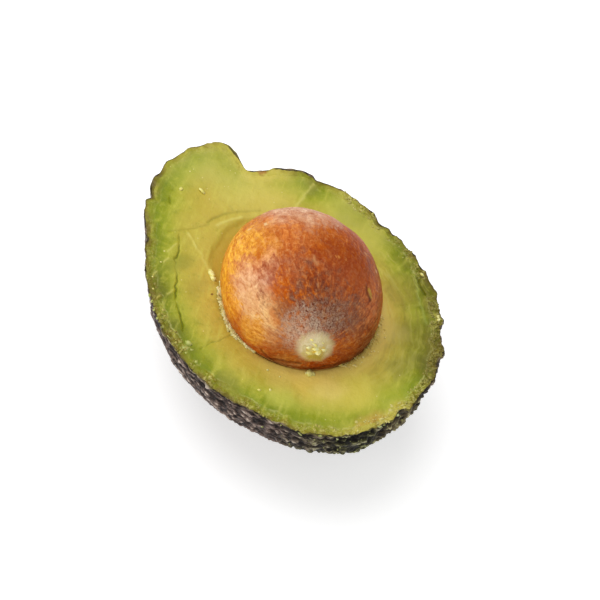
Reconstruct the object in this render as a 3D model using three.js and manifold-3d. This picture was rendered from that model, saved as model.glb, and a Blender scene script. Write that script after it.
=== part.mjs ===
// Half of a ripe pebbly-skinned avocado, cut lengthwise and lying on its back, with its seed still in it.
// Three pieces: the pebbled peel, the flesh inside it with the hollow that the seed sits in, and the seed.
//
// Millimetres, +Z up. The origin is the middle of the small flat spot that the half rests on.
// +X runs along the fruit towards its stem end, and the cut face is level, facing +Z.

import * as THREE from 'three';
import { mergeVertices } from 'three/addons/utils/BufferGeometryUtils.js';
import Module from 'manifold-3d';

// ---- Driving dimensions -------------------------------------------------------------------------

const CUT_HEIGHT = 30; // of the cut face above the surface that the half rests on
const MIDDLE_ABOVE_CUT = 3.5; // the knife passed this far below the fruit's own middle plane
const HALF_DEPTH = 34.4; // from that middle plane to the fruit's back, before the back is pressed flat

// The fruit's outline seen from above: how far it reaches from the origin's axis, at equal turns from +X.
// The narrow stem end leans towards -Y.
const OUTLINE_REACH = [
  50.0, 42.2, 35.9, 34.0, 33.7, 34.6, 37.4, 41.7, 42.9, 41.5, 38.5, 35.3, 33.3, 34.4, 37.9, 47.8,
];
const FULLNESS = 0.93; // of the sections: 1 makes them ellipses, and less makes them fuller

// The hollow where the stem was, beside the narrow end's tip.
const STEM = new THREE.Vector3(41.8, -19.5, CUT_HEIGHT + 1);
const STEM_INWARD_TURN = 129; // degrees from +X
const STEM_HOLLOW_DEPTH = 8.8;
const STEM_HOLLOW_TO_TIP = 4.7; // its spread towards the tip, where it is steep
const STEM_HOLLOW_TO_SIDE = 8.8; // its spread towards the side
const STEM_HOLLOW_DOWN = 8.5; // its spread down the back
const STEM_HOLLOW_REACH = 20; // how far into the fruit it still moves the surface

const PEEL_THICKNESS = 1.3;
const PEEL_TO_FLESH = 0.3;
const PEBBLE_SPACING = new THREE.Vector3(5.4, 4.2, 4.2);
const PEBBLE_HEIGHT = 1.8;
const PEBBLE_LEVEL = 0.58; // the part of a pebble's height that stands out from the smooth fruit

// The seed is an egg that lies nearly lengthwise, with a low round scar where it was rooted.
const SEED_CENTRE = new THREE.Vector3(-3.6, -0.2, CUT_HEIGHT + 5.1);
const SEED_RADIUS = 19.2;
const SEED_HALF_LENGTH = 21.2;
const SEED_AXIS = towards(7, 19);
const SEED_SCAR = towards(150, 14);
const SEED_SCAR_RADIUS = 4.6;
const SEED_SCAR_HEIGHT = 0.5;
const SEED_TO_FLESH = 0.3;

// A shallow dish in the cut face, where the seed's hollow runs out towards the stem.
const DISH_TURN = 3; // degrees from +X
const DISH_AHEAD = 12; // from the seed's centre to the dish's
const DISH_RISE = 8.4; // from the cut face to the centre of the ellipsoid that scoops it
const DISH_HALF_SIZE = new THREE.Vector3(26.6, 19.6, 12);

// How finely each surface is divided: the number of cuts across each edge of an icosahedron.
const PEEL_OUTSIDE_CUTS = 28;
const INSIDE_CUTS = 12;
const SEED_CUTS = 9;
const DISH_CUTS = 12;

const FINISHES = {
  peel: { color: 0x2b2a1f, roughness: 0.45 },
  flesh: { color: 0xb7b852, roughness: 0.5 },
  seed: { color: 0xa5602f, roughness: 0.42 },
};

// ---- Directions ---------------------------------------------------------------------------------

// A unit vector from two angles in degrees: its turn from +X, seen from above, and its rise.
function towards(turn, rise) {
  const polar = THREE.MathUtils.degToRad(90 - rise);
  return new THREE.Vector3(0, 0, 1)
    .applyAxisAngle(new THREE.Vector3(0, 1, 0), polar)
    .applyAxisAngle(new THREE.Vector3(0, 0, 1), THREE.MathUtils.degToRad(turn));
}

// ---- Solids -------------------------------------------------------------------------------------

const wasm = await Module();
wasm.setup();

// A closed three.js geometry as a manifold-3d solid.
function solidFrom(geometry) {
  const bare = geometry.clone().deleteAttribute('normal').deleteAttribute('uv');
  const merged = mergeVertices(bare, 1e-4);
  return new wasm.Manifold(
    new wasm.Mesh({
      numProp: 3,
      vertProperties: new Float32Array(merged.attributes.position.array),
      triVerts: new Uint32Array(merged.index.array),
    }),
  );
}

// A manifold-3d solid as a mesh with its name's finish.
function meshFrom(solid, name) {
  const { vertProperties, triVerts } = solid.getMesh();
  const geometry = new THREE.BufferGeometry();
  geometry.setAttribute('position', new THREE.BufferAttribute(vertProperties, 3));
  geometry.setIndex(new THREE.BufferAttribute(triVerts, 1));
  geometry.computeVertexNormals();
  const mesh = new THREE.Mesh(geometry, new THREE.MeshStandardMaterial({ ...FINISHES[name], metalness: 0 }));
  mesh.name = name;
  return mesh;
}

// A ball whose surface point in each direction is given by a function.
function shapedBall(cuts, pointIn) {
  const ball = new THREE.IcosahedronGeometry(1, cuts);
  const position = ball.attributes.position;
  const direction = new THREE.Vector3();
  for (let i = 0; i < position.count; i++) {
    const point = pointIn(direction.fromBufferAttribute(position, i).normalize());
    position.setXYZ(i, point.x, point.y, point.z);
  }
  return solidFrom(ball);
}

// ---- The fruit's surface ------------------------------------------------------------------------

// A smooth closed curve through OUTLINE_REACH.
function outlineReach(turn) {
  const count = OUTLINE_REACH.length;
  const place = THREE.MathUtils.euclideanModulo(turn / (2 * Math.PI), 1) * count;
  const first = Math.floor(place);
  const t = place - first;
  const [before, a, b, after] = [-1, 0, 1, 2].map((step) => OUTLINE_REACH[(first + step + count) % count]);
  const bend = 2 * before - 5 * a + 4 * b - after + t * (3 * (a - b) + after - before);
  return a + 0.5 * t * (b - before + t * bend);
}

const stemInward = towards(STEM_INWARD_TURN, 0);

// How deep the stem's hollow is at a point, from 0 to 1. It is wider under the peel than outside it.
function stemHollow(point, inset) {
  const away = point.clone().sub(STEM);
  const alongRim = away.x * stemInward.y - away.y * stemInward.x;
  const spread = (alongRim > 0 ? STEM_HOLLOW_TO_TIP : STEM_HOLLOW_TO_SIDE) + inset;
  const inward = away.dot(stemInward);
  return Math.exp(
    -((alongRim / spread) ** 2) - (away.z / STEM_HOLLOW_DOWN) ** 2 - (inward / STEM_HOLLOW_REACH) ** 2,
  );
}

// The point of the smooth fruit's surface in a direction, set in by some distance.
function fruitPoint(direction, inset) {
  const turn = Math.atan2(direction.y, direction.x);
  const reach = outlineReach(turn) * Math.hypot(direction.x, direction.y) ** FULLNESS;
  const rise = HALF_DEPTH * Math.sign(direction.z) * Math.abs(direction.z) ** FULLNESS;
  const point = new THREE.Vector3(
    reach * Math.cos(turn),
    reach * Math.sin(turn),
    CUT_HEIGHT + MIDDLE_ABOVE_CUT + rise,
  );
  point.addScaledVector(stemInward, STEM_HOLLOW_DEPTH * stemHollow(point, inset));
  return point.addScaledVector(direction, -inset);
}

// A repeatable number from 0 to 1 for a cell of space, with a different one for each salt.
function cellNumber(x, y, z, salt) {
  let mixed = Math.imul(x, 374761393) ^ Math.imul(y, 668265263) ^ Math.imul(z, 461845907);
  mixed = Math.imul(mixed ^ Math.imul(salt, 974711) ^ (mixed >>> 13), 1274126177);
  return ((mixed ^ (mixed >>> 16)) >>> 0) / 2 ** 32;
}

// The distance from a point to the nearest pebble's middle, in cells. Each cell holds one pebble.
function toNearestPebble(point) {
  const place = point.clone().divide(PEBBLE_SPACING);
  const home = place.clone().floor();
  let nearest = Infinity;
  for (let x = home.x - 1; x <= home.x + 1; x++) {
    for (let y = home.y - 1; y <= home.y + 1; y++) {
      for (let z = home.z - 1; z <= home.z + 1; z++) {
        const middle = new THREE.Vector3(
          x + cellNumber(x, y, z, 1),
          y + cellNumber(x, y, z, 2),
          z + cellNumber(x, y, z, 3),
        );
        nearest = Math.min(nearest, middle.distanceTo(place));
      }
    }
  }
  return nearest;
}

// The peel's outside, pebbled, with its back pressed flat on the surface that it rests on.
function peelPoint(direction) {
  const point = fruitPoint(direction, 0);
  const pebble = PEBBLE_LEVEL - Math.min(1, toNearestPebble(point)) ** 1.5;
  point.addScaledVector(direction, PEBBLE_HEIGHT * pebble);
  point.z = Math.max(point.z, 0);
  return point;
}

// A smooth surface inside the peel, as far from its pressed back as from its sides.
function insidePoint(direction, inset) {
  const point = fruitPoint(direction, inset);
  point.z = Math.max(point.z, inset);
  return point;
}

// ---- The seed and its hollow --------------------------------------------------------------------

// The seed's surface, set out by some distance.
function seedPoint(direction, outset) {
  const fromScar = (direction.angleTo(SEED_SCAR) * SEED_RADIUS) / SEED_SCAR_RADIUS;
  const scar = SEED_SCAR_HEIGHT * Math.exp(-(fromScar ** 4));
  const along = direction.dot(SEED_AXIS);
  return SEED_CENTRE.clone()
    .addScaledVector(direction, SEED_RADIUS + scar + outset)
    .addScaledVector(SEED_AXIS, (SEED_HALF_LENGTH - SEED_RADIUS) * along);
}

function dishPoint(direction) {
  const ahead = towards(DISH_TURN, 0);
  const aside = towards(DISH_TURN + 90, 0);
  const point = direction.clone().multiply(DISH_HALF_SIZE);
  return new THREE.Vector3(SEED_CENTRE.x, SEED_CENTRE.y, CUT_HEIGHT + DISH_RISE + point.z)
    .addScaledVector(ahead, DISH_AHEAD + point.x)
    .addScaledVector(aside, point.y);
}

// ---- The pieces ---------------------------------------------------------------------------------

// Everything below the knife's plane.
const BELOW_SPAN = 200;
const belowTheKnife = solidFrom(
  new THREE.BoxGeometry(BELOW_SPAN, BELOW_SPAN, BELOW_SPAN).translate(0, 0, CUT_HEIGHT - BELOW_SPAN / 2),
);

function makePeel() {
  const outside = shapedBall(PEEL_OUTSIDE_CUTS, peelPoint);
  const inside = shapedBall(INSIDE_CUTS, (direction) => insidePoint(direction, PEEL_THICKNESS));
  return meshFrom(outside.intersect(belowTheKnife).subtract(inside), 'peel');
}

function makeFlesh() {
  const inset = PEEL_THICKNESS + PEEL_TO_FLESH;
  const whole = shapedBall(INSIDE_CUTS, (direction) => insidePoint(direction, inset));
  const hollow = shapedBall(SEED_CUTS, (direction) => seedPoint(direction, SEED_TO_FLESH));
  const dish = shapedBall(DISH_CUTS, dishPoint);
  return meshFrom(whole.intersect(belowTheKnife).subtract(hollow.add(dish)), 'flesh');
}

function makeSeed() {
  return meshFrom(shapedBall(SEED_CUTS, (direction) => seedPoint(direction, 0)), 'seed');
}

const avocadoHalf = new THREE.Group();
avocadoHalf.name = 'avocado_half';
avocadoHalf.add(makePeel(), makeFlesh(), makeSeed());

export default avocadoHalf;
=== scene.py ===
"""Half of a ripe pebbly-skinned avocado with its seed, lying on its back on a pale floor.

Metres, +Z up. The origin is the middle of the flat spot under the half, +X runs along the fruit
towards its stem end, and the cut face is level.
"""

import math

import bmesh
import bpy
import numpy as np
from mathutils import Matrix, Vector


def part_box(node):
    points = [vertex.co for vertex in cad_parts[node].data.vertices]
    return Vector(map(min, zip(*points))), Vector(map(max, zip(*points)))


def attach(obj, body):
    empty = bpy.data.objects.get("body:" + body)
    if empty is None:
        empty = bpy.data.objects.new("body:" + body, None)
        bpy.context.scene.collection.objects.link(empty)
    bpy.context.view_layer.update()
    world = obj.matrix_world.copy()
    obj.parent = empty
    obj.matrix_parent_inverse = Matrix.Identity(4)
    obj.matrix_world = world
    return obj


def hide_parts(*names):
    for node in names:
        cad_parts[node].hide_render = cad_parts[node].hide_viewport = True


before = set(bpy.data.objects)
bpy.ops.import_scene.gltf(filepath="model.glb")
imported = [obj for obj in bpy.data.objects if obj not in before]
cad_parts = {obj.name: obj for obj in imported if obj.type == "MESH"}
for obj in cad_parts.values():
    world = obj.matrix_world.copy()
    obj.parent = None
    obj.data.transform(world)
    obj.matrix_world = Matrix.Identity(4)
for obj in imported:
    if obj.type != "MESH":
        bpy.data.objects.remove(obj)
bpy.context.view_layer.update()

MM = 0.001


def mm(numbers):
    """Millimetres as metres, in an array."""
    return MM * np.array(numbers)


# ---- The fruit's sizes ----

CUT_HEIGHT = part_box("peel")[1].z
MIDDLE_ABOVE_CUT = 3.5 * MM
HALF_DEPTH = 34.4 * MM
FULLNESS = 0.93
# How far the outline reaches from the origin's axis, at equal turns from +X.
OUTLINE_REACH = mm([
    50.0, 42.2, 35.9, 34.0, 33.7, 34.6, 37.4, 41.7, 42.9, 41.5, 38.5, 35.3, 33.3, 34.4, 37.9, 47.8,
])
EDGE_FLARE = 0.35 * MM
EDGE_ROUGHNESS = 0.14 * MM
# Chips and corners of the cut edge: turn from +X in degrees, and how far out in tenths of a millimetre.
CHIPS = [
    (0, -1), (3, 7), (7, 2), (10, 11), (14, 11), (16.5, -1), (19, 15), (22, 9), (24, 7), (27, 2),
    (32, -3), (39, 1), (44, 7), (48, 9), (53, 7), (64, 3), (69, 4), (78, 6), (83, 2), (94, 3), (100, 5),
    (106, 3), (111, 7), (116, 4), (122, 5), (126, 1), (133, 0), (136, 3), (142, 2), (146, 9), (149, 10),
    (151, 4), (155, 5), (162, 9), (165, 10), (169, 5), (175, 4), (179, 6), (184, -4), (187, 10), (191, 3),
    (194, 1), (201, 8), (208, -1), (213, 11), (217, -3), (223, -3), (226, 8), (230, 1), (235, 3),
    (239, 9), (244, 2), (248, 8), (251, 4), (260, 10), (262, 6), (267, 9), (269, 8), (272, 1), (275, 5),
    (280, -1), (286, 8), (292, 6), (300, 10), (305, 7), (311, 0), (313, -3), (315, 7), (320, 6), (324, 1),
    (327, 7), (329, 2), (331, 5), (334, 2), (337, 7), (338.5, 7), (340.5, 3), (344, 5), (348, 6),
    (351, 3), (355, 8), (357, 2),
]
CHIP_DIP = math.radians(6)  # how far below the edge a chip fades out
# Where more dark skin shows on the cut edge: turn and half width in degrees, and millimetres.
DARK_SPANS = [(13.5, 2, 0.5), (33, 2.5, 0.6), (49, 2, 0.2), (318, 6, 0.35), (339, 4, 0.4), (207, 9, 0.2)]
# Where the peel swells below the edge: turn and half width in degrees, and millimetres.
SWELLS = [(172, 17, 1.3), (88, 12, 0.4)]

# The hollow where the stem was, beside the narrow end's tip.
STEM = np.array([41.8 * MM, -19.5 * MM, CUT_HEIGHT + 1 * MM])
STEM_INWARD_TURN = 129
STEM_HOLLOW_DEPTH = 8.8 * MM
STEM_HOLLOW_TO_TIP = 4.7 * MM
STEM_HOLLOW_TO_SIDE = 8.8 * MM
STEM_HOLLOW_DOWN = 8.5 * MM
STEM_HOLLOW_REACH = 20 * MM

WANDER = 0.25 * MM  # of lines on the cut face and the seed from their given places
# Rings round the fruit at which noises are read.
NOISE_RING = 38 * MM
LENGTHWISE_RING = 11 * MM
FLOW_RING = 30 * MM

PEEL_THICKNESS = 1.35 * MM
PEEL_DARK_THICKNESS = 0.17 * MM
PEEL_TO_FLESH = 0.01 * MM

SEED_CENTRE = np.array([-3.6 * MM, -0.2 * MM, CUT_HEIGHT + 5.1 * MM])
SEED_RADIUS = 19.2 * MM
SEED_HALF_LENGTH = 21.2 * MM
SEED_AXIS = (7, 19)
SEED_SCAR = (150, 14)
SEED_SCAR_RADIUS = 4.6 * MM
SEED_SCAR_HEIGHT = 0.35 * MM
SEED_TO_FLESH = 0.1 * MM

# The dish that the seed's hollow makes in the cut face: its reach from the seed's middle at turns from +X.
DISH_TURNS = np.radians([-70, -45, -20, -5, 6, 12, 17, 23, 27, 31, 43])
DISH_REACH = mm([19.5, 23.5, 27.5, 28.8, 28.4, 28.1, 27.1, 26.2, 25.8, 24.6, 19.5])
DISH_DEPTH = 1.7 * MM

# ---- Marks on the cut face, as lines and places seen from above ----

CRACK = mm([
    (30.4, 12.4), (26.8, 14.7), (24.5, 16.5), (23.2, 18.6), (18.7, 20.8), (17.2, 22.2), (14.5, 24.3),
    (11.4, 25.9), (8.4, 27.0), (4.4, 29.1),
])
SPLIT = mm([(-2.8, 19.8), (-2.5, 23.6), (-1.8, 25.2), (-2.1, 28.6)])
FOLD = mm([(28.2, 4.7), (28.6, 2.9), (28.5, 0.1), (27.4, -3.1), (25.8, -6.2), (24.6, -8.7)])
FOLD_CREST = mm([(26.4, 3.4), (26.3, 1.1), (25.9, -1.3), (25.3, -3.4)])
SCRAPE = mm([(28.2, 11.3), (25.7, 11.3), (23.0, 11.8), (20.7, 12.0), (18.5, 12.5), (16.4, 13.2)])
CREASE = mm([(31.3, 15.0), (30.0, 12.3), (28.5, 8.5), (27.7, 4.7)])
STROKE = mm([(20.8, -17.3), (22.7, -21.5), (24.9, -27.3)])
DASHES = mm([
    [(25.9, 18.7), (27.0, 15.6)], [(24.0, 21.5), (24.4, 19.8)], [(15.7, 24.3), (15.4, 26.0)],
    [(22.0, 25.9), (22.5, 24.4)], [(15.5, 29.7), (15.9, 28.0)], [(10.1, 31.1), (9.6, 32.6)],
])
NICK = mm([(40.1, 8.4), (38.2, 9.6)])
EDGE_BREAK = mm([(-12.9, -30.2), (-15.2, -29.7), (-17.9, -28.9)])
GREEN_LINE = mm([(-12.4, -30.1), (-15.1, -28.8), (-20.5, -25.9), (-25.4, -23.9)])
MOSSY_SIDE = (-34 * MM, 2 * MM, 20 * MM)
# A corner of the peel below the cut, painted browner and lighter: partly its own brown, partly painted
# light.
BROWN_AND_PAINTED_LIGHT_CORNER = (-43 * MM, -3 * MM, CUT_HEIGHT - 5 * MM)
STEM_SCAR = (34.6 * MM, -16.6 * MM, CUT_HEIGHT)
BROWN_DOT = (9.7 * MM, 16.7 * MM, CUT_HEIGHT)
BANDED_SIDE = (-20 * MM, -22 * MM, CUT_HEIGHT)
# Beside the seed, where the flesh is painted lighter as painted light against the seed's shadow.
SEAM_PAINTED_LIGHT = (-20 * MM, -1 * MM, CUT_HEIGHT)

# Broad tints of the cut face, partly its own colour and partly painted light and shade: where, how far they
# reach in millimetres, how strong, and the colour.
FLESH_TINTS_AND_PAINTED_LIGHT = [
    (-20, -13, 9, 0.1, (140, 122, 40)), (-27, -19, 9, 0.5, (122, 114, 28)),
    (-14, -24, 7, 0.4, (146, 128, 46)), (-38, -3, 8, 0.35, (190, 196, 70)),
    (-32, 4, 9, 0.65, (222, 206, 86)), (-24, 11, 8, 0.8, (234, 204, 96)),
    (-30.5, 11, 6, 0.55, (216, 204, 86)), (-12, 24, 8, 0.25, (208, 188, 86)),
    (5, -26, 12, 0.7, (206, 198, 88)), (15, -26, 7, 0.5, (208, 202, 94)),
    (28, -12, 11, 0.7, (218, 200, 98)), (33, -6, 9, 0.45, (212, 200, 100)),
    (40, -7, 10, 0.5, (196, 188, 90)), (26, -23, 5, 0.3, (190, 186, 84)),
    (45, -2, 10, 0.25, (190, 190, 106)), (25, -27.5, 3, 0.25, (92, 92, 16)),
    (-31, 14, 8, 0.1, (126, 146, 24)), (-40.3, 8.5, 4, 0.45, (196, 150, 62)),
    (-41.8, 3.2, 4, 0.5, (190, 142, 60)), (-42.3, -2.5, 4, 0.35, (190, 142, 60)),
    (11, -28, 6, 0.3, (136, 142, 48)), (-33, -9.5, 5, 0.4, (124, 116, 42)),
    (-33, -15.5, 4, 0.3, (96, 92, 44)), (-28.4, 8.6, 5, 0.4, (240, 212, 124)),
    (22, 18.6, 5, 0.4, (132, 132, 42)), (-23.5, 19.5, 5, 0.5, (208, 208, 92)),
    (-31, -14.5, 5, 0.35, (112, 106, 36)), (-12.6, 27.8, 4, 0.3, (128, 132, 46)),
    (14, 19.5, 5, 0.3, (140, 126, 44)), (-19.6, 17.2, 5, 0.35, (228, 202, 108)),
    (-23, -14.5, 5, 0.35, (214, 196, 112)),
]
# Lumps of pulp: where, and how wide, in millimetres.
PALE_LUMPS = [
    (40.5, 4.8, 1.0), (37.2, 0.5, 1.2), (44.0, -0.5, 0.4), (26.6, 19.4, 0.4), (24.3, 22.0, 0.4),
    (21.6, 26.3, 0.5), (18.5, 28.2, 0.5), (-19.4, 23.2, 0.6), (-20.8, 20.9, 0.6), (-15.7, 18.1, 0.5),
    (-18.9, 16.7, 0.45), (15.7, 13.0, 0.8), (14.9, 13.3, 1.2), (14.1, 13.5, 1.3), (13.2, 13.8, 1.0),
    (-22.0, 10.0, 1.6), (-21.6, 10.6, 0.8), (-22.6, 9.3, 0.8), (-21.3, 9.4, 0.7), (-13.0, -32.0, 0.9),
    (-25.4, -27.5, 0.9), (-26.2, -27.1, 0.8),
]
# Greenish lumps on the rim: where, and how wide, in millimetres.
RIM_LUMPS = [
    (8.1, 32.6, 1.1), (4.7, 32.8, 1.2), (2.6, 31.4, 1.6), (0.4, 31.6, 3.2), (1.1, 29.6, 2.4),
    (-1.6, 32.0, 1.6), (-4.8, 31.4, 1.1), (13.1, 31.2, 1.1), (17.4, 29.9, 1.0), (-0.6, 30.6, 2.2),
    (10.8, 32.2, 0.9), (15.6, 30.4, 0.9),
]
# Pale bits of pulp on the peel below the cut: turn in degrees, how far down and how wide in millimetres.
EDGE_LUMPS = [
    (141, 0.6, 0.7), (147.5, 0.6, 0.9), (153.5, 2.6, 0.6), (154.2, 0.4, 0.9), (158.2, 1.6, 0.7),
    (160, 1.8, 0.8), (162.5, 0.4, 0.7), (167.5, 5.5, 0.6), (171.2, 4.2, 0.6), (174, 0.2, 1.1),
    (176, 0.6, 0.8), (181.8, 0.2, 0.8), (189.2, 5.0, 0.5), (158.2, 5.6, 0.5), (134.5, 5.2, 0.6),
    (165, 3.0, 0.5), (179, 2.5, 0.6),
]
# How crumbly the rim is, at equal turns from +X.
RIM_CRUMBS = [0.2, 0.2, 0.3, 0.5, 0.9, 0.7, 0.6, 0.6, 0.6, 1.0, 1.0, 0.9, 0.5, 0.4, 0.15, 0.15]
# How many loose crumbs the rim has, at equal turns from +X.
RIM_STREWN = [0.1, 0.1, 0.2, 0.2, 0.4, 0.15, 0.15, 0.2, 0.4, 0.9, 1.0, 0.8, 0.3, 0.9, 0.1, 0.1]
# How much brighter, or darker below 0, the pulp near the rim is, at equal turns from +X.
RIM_TONE = [
    0.45, -0.25, -0.45, -0.45, -0.6, -0.65, -0.4, -0.1, 0.0, 0.0, 0.1, 1.0, 1.0, 0.1, -0.8, -0.8, -0.7,
    -0.55, -0.35, 0.05, 0.5, -0.4, 1.0, 0.6,
]

# ---- Marks on the seed, by their turn and rise from its middle in degrees ----

# Broad patches: where, how far they are full and reach in millimetres, how strong, and the colour.
SEED_PATCHES = [
    (10, 68, 3, 15, 0.7, (232, 150, 76)), (50, 30, 4, 16, 0.95, (255, 200, 72)),
    (60, 4, 4, 13, 0.95, (255, 192, 52)), (100, 2, 1, 7, 0.95, (255, 168, 36)),
    # The pale pink patches at turns 86, 90 and 107 are partly painted highlight.
    (86, 38, 2, 11, 0.85, (242, 192, 156)), (107, 22, 2, 11, 0.9, (255, 212, 142)),
    (132, -2, 1, 6, 0.6, (214, 164, 76)), (-160, 30, 3, 14, 0.9, (220, 136, 76)),
    (136, 20, 2, 9, 0.6, (194, 134, 92)), (-138, 54, 2, 16, 0.75, (158, 64, 10)),
    (176, 58, 2, 12, 0.75, (182, 98, 58)), (-168, 2, 2, 10, 0.7, (128, 60, 24)),
    (158, 42, 1, 11, 0.85, (116, 68, 50)), (178, 28, 1, 9, 0.75, (128, 78, 56)),
    (90, 29, 2, 8, 0.4, (250, 208, 156)), (112, 62, 1, 6, 0.4, (204, 146, 108)),
    (79, 54, 1, 5, 0.5, (255, 190, 130)), (95, 53, 1, 5, 0.5, (172, 92, 84)),
    (121, 39, 1, 6, 0.5, (146, 86, 56)), (153, 56, 1, 8, 0.45, (112, 60, 42)),
    (-116, 41, 1, 6, 0.5, (150, 70, 8)), (-124, 22, 2, 10, 0.5, (148, 72, 6)),
    (176, 12, 1, 5, 0.7, (214, 118, 24)), (82, 5, 2, 6, 0.9, (255, 186, 58)),
    # The pale patch at turn -30 is a painted highlight along the seed's top edge.
    (101, 4, 2, 6, 0.95, (255, 194, 76)), (-30, 47, 4, 13, 0.8, (250, 218, 186)),
]
# Flecks: where, how wide in millimetres, and the colour.
SEED_FLECKS = [
    (20, 53, 0.5, (236, 206, 150)), (-143, 69, 0.4, (214, 140, 70)), (-139, 63, 0.3, (214, 140, 70)),
    (-120, 27, 0.4, (236, 186, 136)), (-131, 25, 0.35, (226, 166, 126)),
    (-139, 27, 0.35, (226, 160, 122)), (-112, 40, 0.6, (206, 140, 84)), (-154, 20, 0.8, (190, 122, 76)),
    (27, 40, 0.4, (236, 206, 150)), (-148, 36, 0.7, (206, 166, 62)), (-149, 33, 0.7, (186, 150, 54)),
    (-150, 30.5, 0.5, (196, 160, 78)),
]
# Dark lines of the coat, the low ones along its foot partly painted shade where it meets the flesh; pale
# lines of the coat; and the scar's lumps with their widths in millimetres.
SEED_FOLDS_AND_SHADE = [
    [(117, -14), (126, -8), (134, -5), (141, -4)],
    [(112, -6), (120, -12), (128, -16), (137, -15), (147, -13), (159, -8)],
    [(159, -8), (169, -7), (179, -8), (-172, -6)],
    [(-147, 39), (-152, 35), (-153, 31)],
]
SEED_LINES = [
    [(125, -13), (134, -9), (140, -8)],
    [(158, 79), (159, 76), (161, 73)],
]
SCAR_LUMPS = [
    (145, 15, 1.5), (149, 18, 1.6), (152, 11, 2.6), (150, 14, 1.9), (147, 21, 0.9), (155, 19, 0.9),
    (156, 13, 1.3), (146, 10, 1.4),
]

# ---- Wiring node trees ----


def maths(operation, turned=False):
    """An operator that adds a Math node. Turned, it is the reflected form, as in 1 - mask."""

    def operator(wire, other):
        first, second = (other, wire) if turned else (wire, other)
        return wire.bench.node("ShaderNodeMath", {0: first, 1: second}, operation=operation)

    return operator


class Wire:
    """One output of a node. Arithmetic on it adds Math nodes to its tree."""

    def __init__(self, bench, socket):
        self.bench = bench
        self.socket = socket

    __add__ = maths("ADD")
    __radd__ = maths("ADD", turned=True)
    __sub__ = maths("SUBTRACT")
    __rsub__ = maths("SUBTRACT", turned=True)
    __mul__ = maths("MULTIPLY")
    __rmul__ = maths("MULTIPLY", turned=True)
    __truediv__ = maths("DIVIDE")
    __rtruediv__ = maths("DIVIDE", turned=True)
    __pow__ = maths("POWER")

    def __abs__(self):
        return self.bench.node("ShaderNodeMath", {0: self, 1: 0.0}, operation="ABSOLUTE")


class Bench:
    """A node tree while it is being wired."""

    def __init__(self, tree, place, output):
        self.tree = tree
        self.place = self.node(place, output=output)

    def node(self, kind, sockets=None, output=0, stops=(), **settings):
        """Adds a node with its settings and the values or wires of its sockets, and gives an output."""
        made = self.tree.nodes.new(kind)
        for setting, value in settings.items():
            setattr(made, setting, value)
        if stops:
            ramp = made.color_ramp.elements
            ramp.remove(ramp[1])
            ramp[0].position, ramp[0].color = stops[0]
            for position, colour in stops[1:]:
                ramp.new(position).color = colour
        for key, value in (sockets or {}).items():
            if isinstance(value, Wire):
                self.tree.links.new(value.socket, made.inputs[key])
            else:
                made.inputs[key].default_value = value
        return Wire(self, made.outputs[output])

    def vector(self, operation, first, second, output=0):
        """Vector maths. For SCALE the second is a number."""
        key = "Scale" if operation == "SCALE" else 1
        return self.node("ShaderNodeVectorMath", {0: first, key: second}, output, operation=operation)

    def fade(self, value, low, high):
        """0 at low, 1 at high and smooth between. A low above high turns it round."""
        flipped = low > high
        ends = {"From Min": min(low, high), "From Max": max(low, high)}
        ends.update({"To Min": float(flipped), "To Max": float(not flipped), "Value": value})
        return self.node("ShaderNodeMapRange", ends, interpolation_type="SMOOTHSTEP")

    def noise(self, size, detail=3, roughness=0.55, twist=0, place=None, output=0):
        """Cloudy noise about 0.5, with patches of about that size in millimetres."""
        sockets = {"Vector": place or self.place, "Scale": 1 / (size * MM), "Detail": detail}
        sockets.update({"Roughness": roughness, "Distortion": twist})
        return self.node("ShaderNodeTexNoise", sockets, output)

    def spot(self, centre, inner, outer, warp=None):
        """1 within inner of a point, 0 beyond outer, in millimetres. A warp adds to the distance."""
        away = self.vector("DISTANCE", self.place, centre, output="Value")
        return self.fade(away + warp if warp else away, outer * MM, inner * MM)


class Finish(Bench):
    """A material while it is being wired. Its constants are set on the shader's own sockets."""

    def __init__(self, name, **constants):
        self.material = bpy.data.materials.new(name)
        self.material.use_nodes = True
        super().__init__(self.material.node_tree, "ShaderNodeTexCoord", "Object")
        self.shader = next(n for n in self.tree.nodes if n.type == "BSDF_PRINCIPLED")
        self.set_constants(**constants)

    def set_constants(self, **constants):
        for socket, value in constants.items():
            self.shader.inputs[socket.replace("_", " ")].default_value = value

    def attribute(self, name, output="Fac"):
        return self.node("ShaderNodeAttribute", output=output, attribute_name=name)

    def height(self):
        return self.node("ShaderNodeSeparateXYZ", {"Vector": self.place}, "Z")

    def cells(self, size):
        """The distance to the middle of the nearest cell. The cells' size is in millimetres."""
        return self.node("ShaderNodeTexVoronoi", {"Vector": self.place, "Scale": 1 / (size * MM)})

    def blend(self, factor, first, second, mode="MIX"):
        sockets = {0: factor, 6: first, 7: second}
        return self.node("ShaderNodeMix", sockets, 2, data_type="RGBA", blend_type=mode)

    def coats(self, body, *coats):
        """Lays coats over a colour in turn: for each how far it covers, its colour and perhaps its mode."""
        for cover, colour, *mode in coats:
            body = self.blend(cover, body, paint(*colour), *mode)
        return body

    def wire(self, **inputs):
        for name, value in inputs.items():
            self.tree.links.new(value.socket, self.shader.inputs[name.replace("_", " ")])

    def bump(self, height, depth):
        """A bump of that depth in millimetres."""
        return self.node("ShaderNodeBump", {"Height": height, "Distance": depth * MM})


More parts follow.
